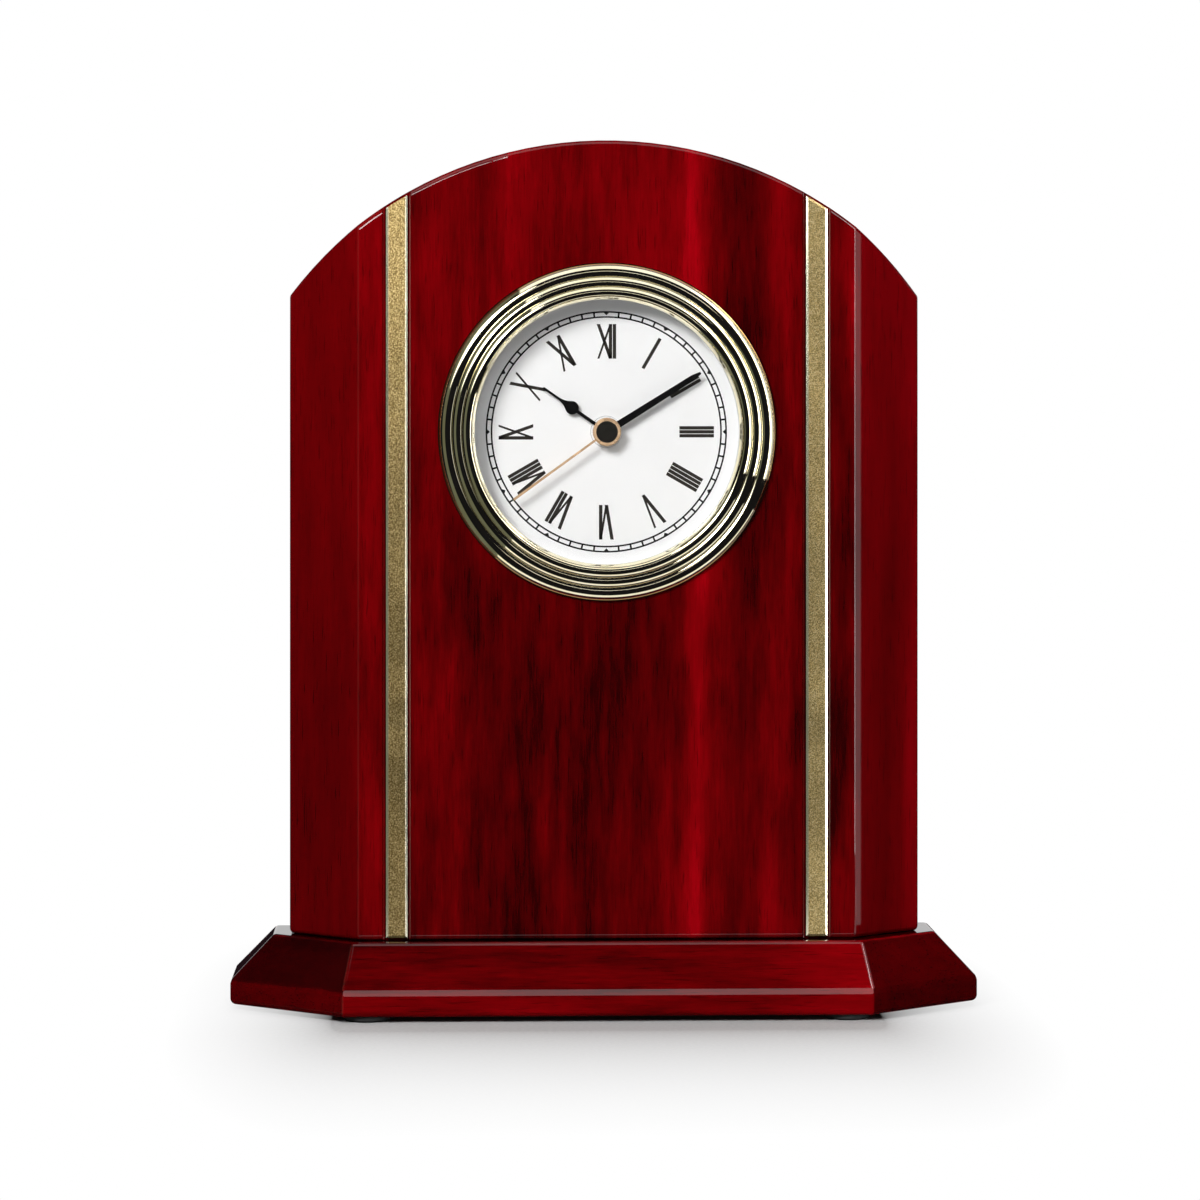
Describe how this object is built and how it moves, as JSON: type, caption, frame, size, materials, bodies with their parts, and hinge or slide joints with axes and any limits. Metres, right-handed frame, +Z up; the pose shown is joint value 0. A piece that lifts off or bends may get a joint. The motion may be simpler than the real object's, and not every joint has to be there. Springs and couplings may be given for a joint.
{
  "type": "mantel clock",
  "caption": "Arch-top mantel clock: glossy red wooden case on a bevelled plinth, gold trim strips, and a round push-in quartz insert with ribbed gold bezel and geared hands.",
  "frame": {"origin": "on the table under the middle of the plinth's footprint", "axes": "+Z up, -Y towards the viewer of the dial, +X to the viewer's right"},
  "size_m": [0.1918, 0.0472, 0.2219],
  "materials": {
    "rosewood_lacquer": "high-gloss clear lacquer over red rosewood veneer",
    "satin_gold": "fine brushed, with bright bevelled edges",
    "polished_gold": "mirror polished",
    "clear_glass": "polished flat glass",
    "white_dial": "smooth matte white enamel with dark printing",
    "white_plastic": "smooth moulded",
    "black_plastic": "fine spark texture",
    "ivory_plastic": "smooth moulded",
    "gear_resin": "smooth moulded acetal",
    "gear_brass": "turned",
    "black_rubber": "matte moulded rubber",
    "zinc_steel": "zinc plated",
    "motor_steel": "blanked sheet",
    "motor_magnet": "ground",
    "copper_wire": "enamelled copper wire",
    "green_board": "solder mask",
    "crystal_can": "bright can",
    "black_resin": "epoxy drop",
    "cell_jacket": "plain printed jacket",
    "nickel_contact": "nickel plated spring strip",
    "hand_black": "satin black",
    "hand_gold": "polished",
    "black_cap": "smooth gloss"
  },
  "bodies": {
    "case": {"case_body": "rosewood_lacquer", "base_plinth": "rosewood_lacquer", "left_trim_strip": "satin_gold", "right_trim_strip": "satin_gold", "base_screws": "zinc_steel", "base_feet": "black_rubber"},
    "insert": {"bezel": "polished_gold", "lens": "clear_glass", "dial_surround": "white_plastic", "dial": "white_dial", "movement_housing": "black_plastic", "grip_ring": "black_rubber", "rear_cover": "black_plastic", "rear_cover_screws": "zinc_steel", "middle_plate": "ivory_plastic", "middle_plate_screws": "zinc_steel", "train_bridge": "ivory_plastic", "bridge_screws": "zinc_steel", "stator": "motor_steel", "coil_core": "motor_steel", "coil_winding": "copper_wire", "circuit_board": "green_board", "quartz_crystal": "crystal_can", "driver_chip": "black_resin", "battery": "cell_jacket", "positive_contact": "nickel_contact", "negative_contact": "nickel_contact"},
    "seconds": {"seconds_wheel": "gear_resin", "second_hand": "hand_gold", "second_hand_cap": "black_cap"},
    "rotor": {"rotor_pinion": "gear_resin", "rotor_magnet": "motor_magnet"},
    "fifth": {"fifth_wheel": "gear_resin"},
    "third": {"third_wheel": "gear_resin"},
    "centre": {"centre_wheel": "gear_resin"},
    "minute": {"cannon_pinion": "gear_brass", "minute_hand": "hand_black"},
    "motion": {"minute_wheel": "gear_resin"},
    "hour": {"hour_wheel": "gear_brass", "hour_hand": "hand_black"},
    "setting": {"setting_knob": "black_plastic"},
    "hatch": {"battery_hatch": "black_plastic"}
  },
  "joints": [
    {"name": "insert_slide", "type": "slide", "parent": "case", "child": "insert", "axis": [0, -1, 0], "range_m": [0, 0.04]},
    {"name": "second_hand_turn", "type": "hinge", "parent": "insert", "child": "seconds", "pos_m": [0, -0.0135, 0.148], "axis": [0, 1, 0], "continuous": true},
    {"name": "rotor_turn", "type": "hinge", "parent": "insert", "child": "rotor", "pos_m": [-0.01658, -0.0135, 0.15238], "axis": [0, 1, 0], "continuous": true},
    {"name": "fifth_wheel_turn", "type": "hinge", "parent": "insert", "child": "fifth", "pos_m": [-0.009, -0.0135, 0.148], "axis": [0, 1, 0], "continuous": true},
    {"name": "third_wheel_turn", "type": "hinge", "parent": "insert", "child": "third", "pos_m": [0, -0.0135, 0.1599], "axis": [0, 1, 0], "continuous": true},
    {"name": "centre_wheel_turn", "type": "hinge", "parent": "insert", "child": "centre", "pos_m": [0, -0.0135, 0.148], "axis": [0, 1, 0], "continuous": true},
    {"name": "minute_hand_turn", "type": "hinge", "parent": "insert", "child": "minute", "pos_m": [0, -0.0135, 0.148], "axis": [0, 1, 0], "continuous": true},
    {"name": "minute_wheel_turn", "type": "hinge", "parent": "insert", "child": "motion", "pos_m": [0.0096, -0.0135, 0.148], "axis": [0, 1, 0], "continuous": true},
    {"name": "hour_hand_turn", "type": "hinge", "parent": "insert", "child": "hour", "pos_m": [0, -0.0135, 0.148], "axis": [0, 1, 0], "continuous": true},
    {"name": "setting_knob_turn", "type": "hinge", "parent": "insert", "child": "setting", "pos_m": [0.0192, -0.0135, 0.148], "axis": [0, 1, 0], "continuous": true},
    {"name": "battery_hatch_slide", "type": "slide", "parent": "insert", "child": "hatch", "axis": [0, 1, 0], "range_m": [0, 0.015]}
  ],
  "couplings": [
    {"joint": "fifth_wheel_turn", "follows": "second_hand_turn", "ratio": -5},
    {"joint": "rotor_turn", "follows": "second_hand_turn", "ratio": 30},
    {"joint": "third_wheel_turn", "follows": "second_hand_turn", "ratio": -0.13333},
    {"joint": "centre_wheel_turn", "follows": "second_hand_turn", "ratio": 0.016667},
    {"joint": "minute_wheel_turn", "follows": "minute_hand_turn", "ratio": -0.33333},
    {"joint": "hour_hand_turn", "follows": "minute_hand_turn", "ratio": 0.083333},
    {"joint": "setting_knob_turn", "follows": "minute_hand_turn", "ratio": 1}
  ]
}
